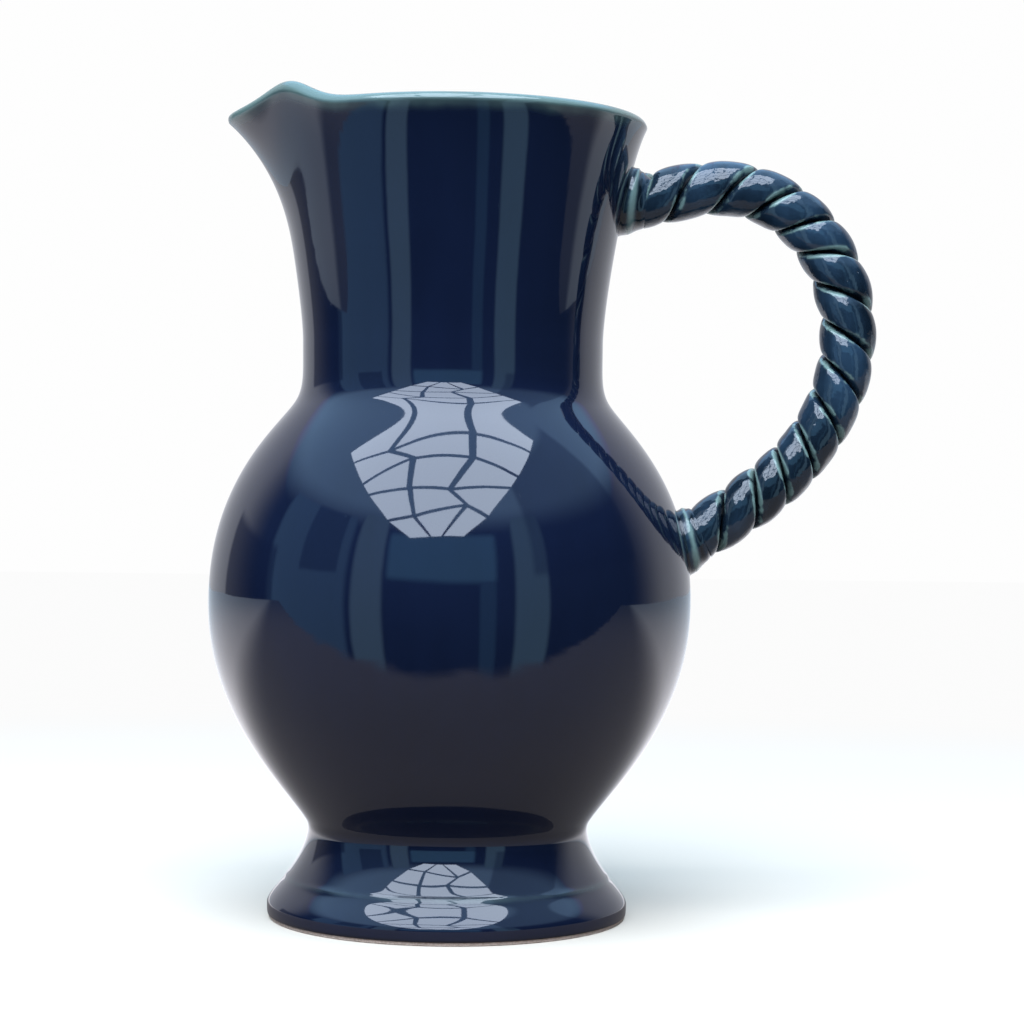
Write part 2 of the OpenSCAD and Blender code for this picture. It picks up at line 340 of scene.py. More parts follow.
# The hollow inside
wall = belly["wall"]
floorHeight = foot["waistHeight"] + belly["floor"]
seamWall = wall / math.sin(math.radians(belly["shoulderAngle"]))
inside = movedLeft(chain(bellyOutline, neckOutline), wall)
bellySide = between(inside, floorHeight + wall, belly["seamHeight"])
bellyFloor = curve([0, floorHeight], [waistPoint[0] - 2 * wall, floorHeight], bellySide[0] - [4, 5],
                   bellySide[0], 24)
rimTurn = np.radians(np.linspace(12, 165, 22))
rimArc = np.c_[neck["rimRadius"] - wall / 2 + wall / 2 * np.cos(rimTurn),
               flareTop[1] + neck["rimRound"] * np.sin(rimTurn)]
neckSide = between(inside, belly["seamHeight"], flareTop[1] - 1)
seamInside = [neck["seamRadius"] - seamWall, belly["seamHeight"]]

footInside = between(movedLeft(footOutline, foot["wall"]), foot["wall"], foot["waistHeight"] - 2)
standInside = footOutline[0, 0] - foot["wall"]
footRing = np.vstack([footOutline, [[waistPoint[0] - foot["wall"], foot["waistHeight"]]], footInside[::-1],
                      [[standInside - 0.2, 0.6], [standInside, 0], footOutline[0]]])
bellyRing = np.vstack([[[0, foot["waistHeight"]]], bellyOutline, [seamInside], bellySide[::-1],
                       bellyFloor[-2::-1]])
neckRing = np.vstack([neckOutline, rimArc, neckSide[::-1], [seamInside, neckOutline[0]]])
print("outlines drawn")


# Glazes, as colours in linear light
def fromScreen(red, green, blue):
    return tuple(((c / 255 + 0.055) / 1.055) ** 2.4 if c > 10 else c / 255 / 12.92
                 for c in (red, green, blue)) + (1.0,)


# Shared by every glaze: where it runs thin, pools, mottles and pits. The thin marks also carry a painted
# highlight, and the pool marks carry painted shade
def makeGlazeGroup():
    group = bpy.data.node_groups.new("glazeCoat", "ShaderNodeTree")
    for label, kind in (("Thick Color", "Color"), ("Thin Color", "Color"), ("Pool And Shade Color", "Color"),
                        ("Thin", "Float"),
                        ("Pool", "Float"), ("Mottle", "Float"), ("Break Up", "Float"),
                        ("Break Scale", "Float"),
                        ("Pitting", "Float"), ("Ripple", "Float"), ("Ripple Scale", "Float"),
                        ("Gloss Roughness", "Float")):
        group.interface.new_socket(label, in_out="INPUT", socket_type="NodeSocket" + kind)
    for label, kind in (("Color", "Color"), ("Roughness", "Float"), ("Height", "Float")):
        group.interface.new_socket(label, in_out="OUTPUT", socket_type="NodeSocket" + kind)
    given = addNode(group, "NodeGroupInput").outputs
    where = addNode(group, "ShaderNodeTexCoord").outputs["Object"]

    # colour: cloudy depth, thin edges that break to a paler tone and carry a painted highlight, and dark
    # pools that carry painted shade
    cloud = noise(group, where, 34.0, 4.0)
    runs = noise(group, vectorCalc(group, "MULTIPLY", where, (150.0, 150.0, 14.0)), 1.0, 3.0)
    depth = calc(group, "ADD", calc(group, "MULTIPLY", cloud, 0.6), calc(group, "MULTIPLY", runs, 0.4))
    lift = calc(group, "MULTIPLY", ramp(group, depth, 0.3, 0.7, -1.0, 1.0), given["Mottle"])
    mottled = addNode(group, "ShaderNodeHueSaturation")
    feed(group, mottled.inputs["Color"], given["Thick Color"])
    feed(group, mottled.inputs["Value"], calc(group, "ADD", 1.0, lift))
    patchy = ramp(group, noise(group, where, given["Break Scale"], 3.0), 0.3, 0.7, -1.0, 1.0)
    broken = calc(group, "ADD", given["Thin"], calc(group, "MULTIPLY", patchy, given["Break Up"]))
    anyThin = calc(group, "MINIMUM", calc(group, "MULTIPLY", given["Thin"], 3.0), 1.0)
    edged = blendColors(group, calc(group, "MULTIPLY", ramp(group, broken, 0.0, 1.0), anyThin),
                        mottled.outputs[0], given["Thin Color"])
    pooledAndShaded = blendColors(group, given["Pool"], edged, given["Pool And Shade Color"])

    # surface: slow ripples, a fine skin, and a few pinholes
    cells = addNode(group, "ShaderNodeTexVoronoi")
    feed(group, cells.inputs["Vector"], where)
    feed(group, cells.inputs["Scale"], 300.0)
    chosen = calc(group, "GREATER_THAN", split(group, cells.outputs["Color"])[0], 0.86)
    hole = calc(group, "MULTIPLY", ramp(group, cells.outputs["Distance"], 0.0, 0.1, 1.0, 0.0), chosen)
    pit = calc(group, "MULTIPLY", hole, given["Pitting"])
    ripple = calc(group, "MULTIPLY", noise(group, where, given["Ripple Scale"], 2.0), given["Ripple"])
    skin = calc(group, "MULTIPLY", noise(group, where, 900.0, 1.0),
                calc(group, "MULTIPLY", given["Ripple"], 0.02))
    gloss = calc(group, "ADD", given["Gloss Roughness"], calc(group, "MULTIPLY", cloud, 0.03))
    out = addNode(group, "NodeGroupOutput")
    feed(group, out.inputs["Color"], pooledAndShaded)
    feed(group, out.inputs["Roughness"], calc(group, "ADD", gloss, calc(group, "MULTIPLY", pit, 0.4)))
    feed(group, out.inputs["Height"], calc(group, "SUBTRACT", calc(group, "ADD", ripple, skin), pit))
    return group


glazeGroup = makeGlazeGroup()

# The pot's thin colour is pale for a painted highlight along the rim as well as for thin glaze; its pool
# colour is painted shade as well as pooled glaze
potGlaze = {
    "Thick Color": fromScreen(15, 22, 41), "Thin Color": fromScreen(94, 112, 104),
    "Pool And Shade Color": fromScreen(7, 10, 20),
    "Mottle": 0.10, "Break Up": 0.12, "Break Scale": 60.0, "Pitting": 0.5, "Ripple": 1.0,
    "Ripple Scale": 55.0,
    "Gloss Roughness": 0.02,
}
# The rope's thin colour is a painted highlight along the lobes as well as thin glaze; its pool colour is
# painted shade in the creases as well as pooled glaze
ropeGlaze = {
    "Thick Color": fromScreen(30, 45, 58), "Thin Color": fromScreen(112, 132, 124),
    "Pool And Shade Color": fromScreen(4, 7, 11),
    "Mottle": 0.7, "Break Up": 0.95, "Break Scale": 170.0, "Pitting": 1.0, "Ripple": 1.0,
    "Ripple Scale": 300.0,
    "Gloss Roughness": 0.05,
}
bareClay = {"color": fromScreen(205, 178, 158), "shade": fromScreen(176, 148, 128), "roughness": 0.85}


def makeGlaze(name, values, bumpDistance, bareFoot=False):
    material = bpy.data.materials.new(name)
    material.use_nodes = True
    tree = material.node_tree
    shader = tree.nodes["Principled BSDF"]
    shader.inputs["IOR"].default_value = 1.5
    coat = addNode(tree, "ShaderNodeGroup", node_tree=glazeGroup)
    for label, value in values.items():
        feed(tree, coat.inputs[label], value)
    for label in ("Thin", "Pool"):
        mark = addNode(tree, "ShaderNodeAttribute", attribute_name=label.lower())
        feed(tree, coat.inputs[label], mark.outputs["Fac"])
    color, roughness = coat.outputs["Color"], coat.outputs["Roughness"]
    if bareFoot:
        where = addNode(tree, "ShaderNodeTexCoord").outputs["Object"]
        lineHeight = foot["glazeLine"] * mm
        bare = ramp(tree, split(tree, where)[2], lineHeight, lineHeight + 0.04 * mm, 1.0, 0.0)
        grain = ramp(tree, noise(tree, where, 1500.0, 3.0), 0.3, 0.7)
        color = blendColors(tree, bare, color,
                            blendColors(tree, grain, bareClay["color"], bareClay["shade"]))
        roughness = ramp(tree, bare, 0.0, 1.0, roughness, bareClay["roughness"], smooth=False)
    feed(tree, shader.inputs["Base Color"], color)
    feed(tree, shader.inputs["Roughness"], roughness)
    bump = addNode(tree, "ShaderNodeBump")
    feed(tree, bump.inputs["Distance"], bumpDistance)
    feed(tree, bump.inputs["Height"], coat.outputs["Height"])
    feed(tree, shader.inputs["Normal"], bump.outputs["Normal"])
    return material


footMaterial = makeGlaze("footGlaze", potGlaze, 0.035 * mm, bareFoot=True)
bellyMaterial = makeGlaze("bellyGlaze", potGlaze, 0.035 * mm)
neckMaterial = makeGlaze("neckGlaze", potGlaze, 0.035 * mm)
ropeMaterial = makeGlaze("ropeGlaze", ropeGlaze, 0.2 * mm)
collarMaterial = makeGlaze("collarGlaze", dict(ropeGlaze, **{"Break Up": 0.2}), 0.1 * mm)
print("glazes mixed")


# The wheel: an outline turned about the axis, a little uneven as thrown clay is
def wheelTree(name, withLip):
    sockets = {"Columns": "Int", "Rows": "Int", "Unevenness": "Float", "Glaze": "Material"}
    if withLip:
        sockets |= {label: "Float" for label in ("Rim Height", "Lip Depth", "Lip Curl", "Lip Reach",
                                                 "Lip Spread", "Cheek Rise", "Cheek Angle",
                                                 "Cheek Spread", "Pinch", "Pinch Angle")}
    tree, given = newTree(name, sockets)
    sheet, row, column = rowsAndColumns(tree, given["Rows"], given["Columns"])
    here = addNode(tree, "GeometryNodeInputPosition").outputs["Position"]
    radius, _, height = split(tree, fromOutline(tree, given["Geometry"], row, here, "FLOAT_VECTOR"))
    for mark in ("thin", "pool"):
        value = fromOutline(tree, given["Geometry"], row, stored(tree, mark), "FLOAT")
        sheet = keep(tree, sheet, mark, value)
    turn = calc(tree, "MULTIPLY", calc(tree, "DIVIDE", column, given["Columns"]), 2 * math.pi)
    if withLip:
        fromTip = calc(tree, "ABSOLUTE", calc(tree, "SUBTRACT", turn, math.pi))
        rise = calc(tree, "SUBTRACT", height,
                    calc(tree, "SUBTRACT", given["Rim Height"], given["Lip Depth"]))
        pulled = calc(tree, "MAXIMUM", calc(tree, "DIVIDE", rise, given["Lip Depth"]), 0.0)
        pull = calc(tree, "POWER", pulled, given["Lip Curl"])
        reach = calc(tree, "MULTIPLY", given["Lip Reach"], hump(tree, fromTip, given["Lip Spread"]))
        pinch = calc(tree, "MULTIPLY", given["Pinch"],
                     hump(tree, calc(tree, "SUBTRACT", fromTip, given["Pinch Angle"]),
                          given["Cheek Spread"]))
        cheek = calc(tree, "MULTIPLY", given["Cheek Rise"],
                     hump(tree, calc(tree, "SUBTRACT", fromTip, given["Cheek Angle"]),
                          given["Cheek Spread"]))
        radius = calc(tree, "ADD", radius,
                      calc(tree, "MULTIPLY", pull, calc(tree, "SUBTRACT", reach, pinch)))
        height = calc(tree, "ADD", height, calc(tree, "MULTIPLY", pull, cheek))
    outward = combine(tree, calc(tree, "COSINE", turn), calc(tree, "SINE", turn), 0.0)
    point = vectorCalc(tree, "ADD", vectorCalc(tree, "SCALE", outward, radius),
                       combine(tree, 0.0, 0.0, height))
    uneven = calc(tree, "MULTIPLY", calc(tree, "SUBTRACT", noise(tree, point, 16.0, 1.0), 0.5),
                  given["Unevenness"])
    onAxis = ramp(tree, radius, 0.0, 20 * mm)
    shift = vectorCalc(tree, "SCALE", outward, calc(tree, "MULTIPLY", uneven, onAxis))
    endTree(tree, place(tree, sheet, vectorCalc(tree, "ADD", point, shift)), given["Glaze"])
    return tree


def throwPiece(name, ring, values, material, tree, thin, pool):
    ring = ring[::-1]
    start = outlineMesh(name, inPlane(ring), thin=thin(ring), pool=pool(ring))
    values = dict(values, Rows=len(ring), Glaze=material, Unevenness=0.5 * mm)
    return grow(name, start, tree, {label: values[label] for label in values if label[0].isupper()})


def band(values, middle, spread):
    return np.exp(-((values - middle) / spread) ** 2)


plainWheel = wheelTree("wheel", False)
lipWheel = wheelTree("wheelWithLip", True)
neck["Rim Height"] = neck["rimHeight"] * mm
footPiece = throwPiece(
    "pitcherFoot", footRing, foot, footMaterial, plainWheel,
    lambda ring: 0.28 * band(ring[:, 1], foot["ridgeHeight"], 1.2) * (ring[:, 0] > foot["ridgeRadius"] - 2),
    # pool marks over the glaze line and at the waist: pooled glaze with painted shade
    lambda ring: 0.8 * band(ring[:, 1], glazeLine + 0.2, 0.5) + 0.35 * band(ring[:, 1], waistPoint[1], 1.5))
bellyPiece = throwPiece(
    "pitcherBelly", bellyRing, belly, bellyMaterial, plainWheel,
    # pool mark at the waist: pooled glaze with painted shade
    lambda ring: 0 * ring[:, 0], lambda ring: 0.35 * band(ring[:, 1], waistPoint[1], 1.5))
neckPiece = throwPiece(
    "pitcherNeck", neckRing, neck, neckMaterial, lipWheel,
    # thin mark at the rim: thin glaze with a painted highlight line along the top
    lambda ring: np.interp(ring[:, 1] - neck["rimHeight"], [-6.5, -3.0, -1.3], [0.0, 0.45, 1.0]),
    lambda ring: 0 * ring[:, 0])

# The handle's centreline, as distance from the axis and height
handle = {
    "upperDrop": 24.8, "rise": 4.7, "crestOut": 30.4, "stand": 49.1, "wideDrop": 65.7,
    "lowerJoint": 18.5, "lowRun": 30.9, "lowAngle": 34, "lean": 5, "kneePull": 15.2, "lowPull": 11,
    "rootFull": 0.4, "rootClimb": 0.3, "crestFull": 0.42, "bendFull": 0.575, "sideFull": 0.54,
    "fallFull": 0.47,
}
upperRoot = np.array([np.interp(neck["rimHeight"] - handle["upperDrop"], neckOutline[:, 1],
                                neckOutline[:, 0]),
                      neck["rimHeight"] - handle["upperDrop"]])
lowerHeight = widestPoint[1] + handle["lowerJoint"]
lowerRoot = np.array([np.interp(lowerHeight, bellyOutline[:, 1], bellyOutline[:, 0]), lowerHeight])
crest = upperRoot + [handle["crestOut"], handle["rise"]]
outermost = np.array([belly["radius"] + handle["stand"], neck["rimHeight"] - handle["wideDrop"]])
knee = lowerRoot + stepTo(handle["lowRun"], handle["lowAngle"])
kneeWay = stepTo(1, handle["lowAngle"] + handle["lean"])
rootStep = np.array([handle["crestOut"], handle["rootClimb"] * handle["rise"]])
lowStep = stepTo(handle["lowPull"], handle["lowAngle"] - handle["lean"] / 2)
centreline = chain(
    curve(upperRoot, upperRoot + handle["rootFull"] * rootStep,
          crest - [handle["crestFull"] * handle["crestOut"], 0], crest, 60),
    curve(crest, [crest[0] + handle["bendFull"] * (outermost[0] - crest[0]), crest[1]],
          [outermost[0], outermost[1] + handle["sideFull"] * (crest[1] - outermost[1])], outermost, 80),
    curve(outermost, [outermost[0], outermost[1] - handle["fallFull"] * (outermost[1] - knee[1])],
          knee + handle["kneePull"] * kneeWay, knee, 80),
    curve(knee, knee - handle["lowPull"] * kneeWay, lowerRoot + lowStep, lowerRoot, 60))
ropeRun = runLength(centreline)
ropeLength = ropeRun[-1]

rope = {
    "Radius": 8.85 * mm, "Strand Offset": 1.6 * mm, "Strand Width": 15.5 * mm, "Pitch": 25.7 * mm,
    "First Crease": 20.2 * mm, "Start": 5.0 * mm, "End": (ropeLength - 5.0) * mm,
    "Groove Depth": 2.0 * mm, "Groove Width": 1.5 * mm, "Rings": 560, "Columns": 84,
}
# Millimetres that each turn lies away from even spacing, and that the rope is thinner or fatter there
slipAt, slip = [0, 17, 33, 55, 72, 98, 139, 160, 186], [-3, -2.9, 1.2, 2.4, 0.2, 2.9, 2.8, -1.1, 0]
swellAt, swell = [0, 20, 37, 60, 85, 110, 137, 163, 186], [0, 0, -0.25, 0, 0.35, 0, -0.4, 0.25, 0]


def eased(at, values, where):
    fine = np.linspace(0, ropeLength, 400)
    rough = np.interp(fine, at, values)
    window = np.hanning(41) / np.hanning(41).sum()
    return np.interp(where, fine, np.convolve(np.pad(rough, 20, "edge"), window, "valid"))


ropeStart = outlineMesh("ropePath", inPlane(centreline),
                        slip=eased(slipAt, slip, ropeRun) * mm, swell=eased(swellAt, swell, ropeRun) * mm)


# A point on the centreline, with the rope's own upward direction, slip and swell there
def alongRope(tree, geometry, run):
    path = addNode(tree, "GeometryNodeMeshToCurve")
    feed(tree, path.inputs["Mesh"], geometry)
    found = []
    for label in ("slip", "swell"):
        sample = addNode(tree, "GeometryNodeSampleCurve", mode="LENGTH", data_type="FLOAT")
        feed(tree, sample.inputs["Curves"], path.outputs["Curve"])
        feed(tree, sample.inputs["Value"], stored(tree, label))
        feed(tree, sample.inputs["Length"], run)
        found.append(sample.outputs["Value"])
    upward = vectorCalc(tree, "NORMALIZE",
                        vectorCalc(tree, "CROSS_PRODUCT", sample.outputs["Tangent"], (0.0, 1.0, 0.0)))
    return sample.outputs["Position"], upward, sample.outputs["Tangent"], found[0], found[1]


def strandTree():
    tree, given = newTree("twistedStrand", {
        "Rings": "Int", "Columns": "Int", "Start": "Float", "End": "Float", "Radius": "Float",
        "Strand Offset": "Float", "Strand Width": "Float", "Pitch": "Float", "First Crease": "Float",
        "Start Turn": "Float", "Groove Depth": "Float", "Groove Width": "Float", "Glaze": "Material"})
    rows = calc(tree, "ADD", given["Rings"], 2.0)
    sheet, row, column = rowsAndColumns(tree, rows, given["Columns"])
    ring = calc(tree, "MAXIMUM", calc(tree, "SUBTRACT", row, 1.0), 0.0)
    ring = calc(tree, "MINIMUM", ring, calc(tree, "SUBTRACT", given["Rings"], 1.0))
    part = calc(tree, "DIVIDE", ring, calc(tree, "SUBTRACT", given["Rings"], 1.0))
    run = calc(tree, "ADD", given["Start"],
               calc(tree, "MULTIPLY", part, calc(tree, "SUBTRACT", given["End"], given["Start"])))
    middle, upward, way, slipped, swollen = alongRope(tree, given["Geometry"], run)

    # the strand's outline: the outer part of an ellipse, and a flat side against the other strand
    depth = calc(tree, "SUBTRACT", calc(tree, "ADD", given["Radius"], swollen), given["Strand Offset"])
    crease = calc(tree, "ARCCOSINE", calc(tree, "MULTIPLY",
                                          calc(tree, "DIVIDE", given["Strand Offset"], depth), -1.0))
    around = calc(tree, "DIVIDE", column, given["Columns"])
    arcShare = 0.85
    onArc = calc(tree, "MINIMUM", calc(tree, "DIVIDE", around, arcShare), 1.0)
    angle = calc(tree, "MULTIPLY", crease, calc(tree, "SUBTRACT", calc(tree, "MULTIPLY", onArc, 2.0), 1.0))
    pastArc = calc(tree, "DIVIDE", calc(tree, "SUBTRACT", around, arcShare), 1 - arcShare)
    onFlat = calc(tree, "MAXIMUM", pastArc, 0.0)
    back = calc(tree, "SUBTRACT", 1.0, calc(tree, "MULTIPLY", onFlat, 2.0))
    outX = calc(tree, "ADD", given["Strand Offset"],
                calc(tree, "MULTIPLY", depth, calc(tree, "COSINE", angle)))
    outX = calc(tree, "MAXIMUM", outX, 0.0)
    half = calc(tree, "MULTIPLY", given["Strand Width"], 0.5)
    groove = hump(tree, outX, given["Groove Width"])
    narrowed = calc(tree, "SUBTRACT", half, calc(tree, "MULTIPLY", given["Groove Depth"], groove))
    outY = calc(tree, "MULTIPLY", calc(tree, "MULTIPLY", narrowed, calc(tree, "SINE", angle)), back)
    # 0 on the two rows that close the ends
    closing = calc(tree, "COMPARE", calc(tree, "SUBTRACT", row, 1.0), ring, 0.5)
    outX = calc(tree, "ADD", given["Strand Offset"],
                calc(tree, "MULTIPLY", calc(tree, "SUBTRACT", outX, given["Strand Offset"]), closing))
    outY = calc(tree, "MULTIPLY", outY, closing)

    fromCrease = calc(tree, "SUBTRACT", calc(tree, "SUBTRACT", run, given["First Crease"]), slipped)
    turned = calc(tree, "DIVIDE", fromCrease, given["Pitch"])
    turn = calc(tree, "ADD", calc(tree, "MULTIPLY", turned, 2 * math.pi), given["Start Turn"])
    cosine, sine = calc(tree, "COSINE", turn), calc(tree, "SINE", turn)
    up = calc(tree, "SUBTRACT", calc(tree, "MULTIPLY", outX, cosine), calc(tree, "MULTIPLY", outY, sine))
    side = calc(tree, "ADD", calc(tree, "MULTIPLY", outX, sine), calc(tree, "MULTIPLY", outY, cosine))
    across = vectorCalc(tree, "ADD", vectorCalc(tree, "SCALE", upward, up), combine(tree, 0.0, side, 0.0))
    point = vectorCalc(tree, "ADD", middle, across)
    # dark pool in the crease between the strands: pooled glaze with painted shade
    pooledAndShaded = calc(tree, "MINIMUM", calc(tree, "MULTIPLY", hump(tree, outX, 1.0 * mm), 1.1), 1.0)
    sheet = keep(tree, sheet, "pool", pooledAndShaded)
    # paler band along each lobe beside the crease: thin glaze with a painted highlight
    edge = hump(tree, calc(tree, "SUBTRACT", outX, 2.4 * mm), 1.2 * mm)
    sheet = keep(tree, sheet, "thin", calc(tree, "MULTIPLY", edge, 0.8))
    endTree(tree, place(tree, sheet, point), given["Glaze"])
    return tree


strand = strandTree()
strandPieces = [grow(name, ropeStart.copy(), strand, dict(rope, Glaze=ropeMaterial, **{"Start Turn": turn}))
                for name, turn in (("ropeStrandA", 0.0), ("ropeStrandB", math.pi))]

# Collars: clay smoothed on to the pot's wall at one end and into the rope's two lobes at the other
collar = {"Columns": 160, "length": 5.6, "buried": 2.5, "ridgeAt": 2.6, "ridge": 0.3, "overlap": 5.0}
collarTop = dict(collar, baseRadius=11.0)
collarLow = dict(collar, baseRadius=10.2)


def collarTree():
    tree, given = newTree("ropeCollar", {
        "Columns": "Int", "Rows": "Int", "Root": "Vector", "Away": "Vector", "Wall": "Object",
        "Radius": "Float", "Strand Offset": "Float", "Strand Width": "Float", "Glaze": "Material"})
    sheet, row, column = rowsAndColumns(tree, given["Rows"], given["Columns"])
    here = addNode(tree, "GeometryNodeInputPosition").outputs["Position"]
    radius = split(tree, fromOutline(tree, given["Geometry"], row, here, "FLOAT_VECTOR"))[0]
    toRope, lobeTurn, thin, pool = (fromOutline(tree, given["Geometry"], row, stored(tree, mark), "FLOAT")
                                    for mark in ("toRope", "lobeTurn", "thin", "pool"))
    middle, upward = (fromOutline(tree, given["Geometry"], row, stored(tree, mark, "FLOAT_VECTOR"),
                                  "FLOAT_VECTOR")
                      for mark in ("middle", "upward"))
    sheet = keep(tree, keep(tree, sheet, "thin", thin), "pool", pool)
    turn = calc(tree, "MULTIPLY", calc(tree, "DIVIDE", column, given["Columns"]), 2 * math.pi)

    # how far the rope's two lobes reach at this turn
    lobe = calc(tree, "SUBTRACT", turn, lobeTurn)
    cosine, sine = calc(tree, "ABSOLUTE", calc(tree, "COSINE", lobe)), calc(tree, "SINE", lobe)
    depth = calc(tree, "SUBTRACT", given["Radius"], given["Strand Offset"])
    half = calc(tree, "MULTIPLY", given["Strand Width"], 0.5)
    depthSquare, halfSquare = calc(tree, "MULTIPLY", depth, depth), calc(tree, "MULTIPLY", half, half)
    squares = calc(tree, "ADD", calc(tree, "DIVIDE", calc(tree, "MULTIPLY", cosine, cosine), depthSquare),
                   calc(tree, "DIVIDE", calc(tree, "MULTIPLY", sine, sine), halfSquare))
    linear = calc(tree, "DIVIDE", calc(tree, "MULTIPLY", cosine, given["Strand Offset"]), depthSquare)
    offsetShare = calc(tree, "DIVIDE", given["Strand Offset"], depth)
    rest = calc(tree, "SUBTRACT", 1.0, calc(tree, "MULTIPLY", offsetShare, offsetShare))
    under = calc(tree, "ADD", calc(tree, "MULTIPLY", linear, linear), calc(tree, "MULTIPLY", squares, rest))
    reach = calc(tree, "DIVIDE", calc(tree, "ADD", linear, calc(tree, "SQRT", under)), squares)
    share = calc(tree, "SUBTRACT", calc(tree, "DIVIDE", reach, given["Radius"]), 1.0)
    radius = calc(tree, "MULTIPLY", radius, calc(tree, "ADD", 1.0, calc(tree, "MULTIPLY", share, toRope)))

    # near the wall, distances start from the wall itself
    spoke = vectorCalc(tree, "ADD", vectorCalc(tree, "SCALE", upward, calc(tree, "COSINE", turn)),
                       combine(tree, 0.0, calc(tree, "SINE", turn), 0.0))
    point = vectorCalc(tree, "ADD", middle, vectorCalc(tree, "SCALE", spoke, radius))
    wallInfo = addNode(tree, "GeometryNodeObjectInfo")
    feed(tree, wallInfo.inputs["Object"], given["Wall"])
    ray = addNode(tree, "GeometryNodeRaycast")
    feed(tree, ray.inputs["Target Geometry"], wallInfo.outputs["Geometry"])
    outside = vectorCalc(tree, "SCALE", given["Away"], 14 * mm)
    feed(tree, ray.inputs["Source Position"], vectorCalc(tree, "ADD", point, outside))
    feed(tree, ray.inputs["Ray Direction"], vectorCalc(tree, "SCALE", given["Away"], -1.0))
    feed(tree, ray.inputs["Ray Length"], 50 * mm)
    fromRoot = vectorCalc(tree, "SUBTRACT", ray.outputs["Hit Position"], given["Root"])
    wallHeight = vectorCalc(tree, "DOT_PRODUCT", fromRoot, given["Away"])
    onWall = calc(tree, "MULTIPLY", wallHeight, calc(tree, "SUBTRACT", 1.0, toRope))
    point = vectorCalc(tree, "ADD", point, vectorCalc(tree, "SCALE", given["Away"], onWall))
    endTree(tree, place(tree, sheet, point), given["Glaze"])
    return tree


# The centreline's point, direction and twist at a distance from one end, straight on inside the wall
def ropeAt(distance, atStart):
    run = distance if atStart else ropeLength - distance
    held = np.clip(run, 0, ropeLength)
    at = np.c_[np.interp(held, ropeRun, centreline[:, 0]), np.interp(held, ropeRun, centreline[:, 1])]
    near, far = np.clip(held - 0.8, 0, ropeLength), np.clip(held + 0.8, 0, ropeLength)
    way = np.c_[[np.interp(far, ropeRun, line) - np.interp(near, ropeRun, line) for line in centreline.T]].T
    way /= np.linalg.norm(way, axis=1)[:, None]
    at = at + way * (run - held)[:, None]
    fromCrease = run - rope["First Crease"] / mm - eased(slipAt, slip, held)
    turn = 2 * math.pi * fromCrease / (rope["Pitch"] / mm)
    return at, way, turn


def addCollar(name, values, atStart, wallPiece):
    length, base, ropeRadius = values["length"], values["baseRadius"], rope["Radius"] / mm
    end = length + values["overlap"]
    rows = np.r_[np.linspace(0, length, 26), np.linspace(length, end, 14)[1:]]
    taper = np.interp(rows, [0, length, end], [base, ropeRadius + 0.1, ropeRadius - 2.6])
    dipAt = values["ridgeAt"] + 1.8
    ridge = values["ridge"] * (band(rows, values["ridgeAt"], 0.8) - 0.3 * band(rows, dipAt, 0.7)
                               - 0.6 * band(rows, 0.5, 0.7))
    ring = np.vstack([[[0, -values["buried"]], [base - 0.6, -values["buried"]]], np.c_[taper + ridge, rows],
                      [[ropeRadius - 3.2, end + 0.2], [0, end + 0.2]]])
    if not atStart:
        ring = ring[::-1]
    toRope = np.clip((ring[:, 1] - 1.5) / (end - 1.5), 0, 1)
    at, way, turn = ropeAt(ring[:, 1], atStart)
    upward = np.c_[-way[:, 1], way[:, 0]]
    root, away, _ = ropeAt(np.array([0.0]), atStart)
    away = away[0] * (1 if atStart else -1)
    # pool marks where the collar meets the wall and in the dip: pooled glaze with painted shade; the
    # ridge's thin mark is thin glaze
    start = outlineMesh(name, inPlane(ring), toRope=toRope, lobeTurn=turn, middle=inPlane(at),
                        upward=inPlane(upward) / mm, thin=0.95 * band(ring[:, 1], values["ridgeAt"], 0.9),
                        pool=0.9 * band(ring[:, 1], 0.2, 0.7) + 0.8 * band(ring[:, 1], dipAt, 0.6))
    return grow(name, start, collars, {
        "Columns": values["Columns"], "Rows": len(ring), "Root": (root[0, 0] * mm, 0, root[0, 1] * mm),
        "Away": (away[0], 0, away[1]), "Wall": wallPiece, "Radius": rope["Radius"],
        "Strand Offset": rope["Strand Offset"], "Strand Width": rope["Strand Width"],
        "Glaze": collarMaterial})


collars = collarTree()
upperCollar = addCollar("upperCollar", collarTop, True, neckPiece)
lowerCollar = addCollar("lowerCollar", collarLow, False, bellyPiece)

for piece, node, finish in ((footPiece, "foot", "body_glaze"), (bellyPiece, "belly", "body_glaze"),
                            (neckPiece, "neck", "body_glaze"),
                            (upperCollar, "upper_collar", "handle_glaze"),
                            (lowerCollar, "lower_collar", "handle_glaze"),
                            (strandPieces[0], "rope_strand_a", "handle_glaze"),
                            (strandPieces[1], "rope_strand_b", "handle_glaze")):
    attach(piece, "root")
    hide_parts(node)
print("pieces placed")

# Studio: a pale floor that fades into a white backdrop, a dim blue room in front, a window and the camera
studio = {
    "floorSize": 6.0, "fadeFrom": 0.22, "fadeTo": 0.75, "farGlow": 0.97, "backdrop": 0.99,
    "floorWhite": (0.74, 0.62, 0.49, 1.0), "floorBounce": (0.27, 0.205, 0.165), "tableEdge": -0.21,
    "roomDark": (0.02, 0.04, 0.08), "sides": (0.72, 0.72, 0.74),
}
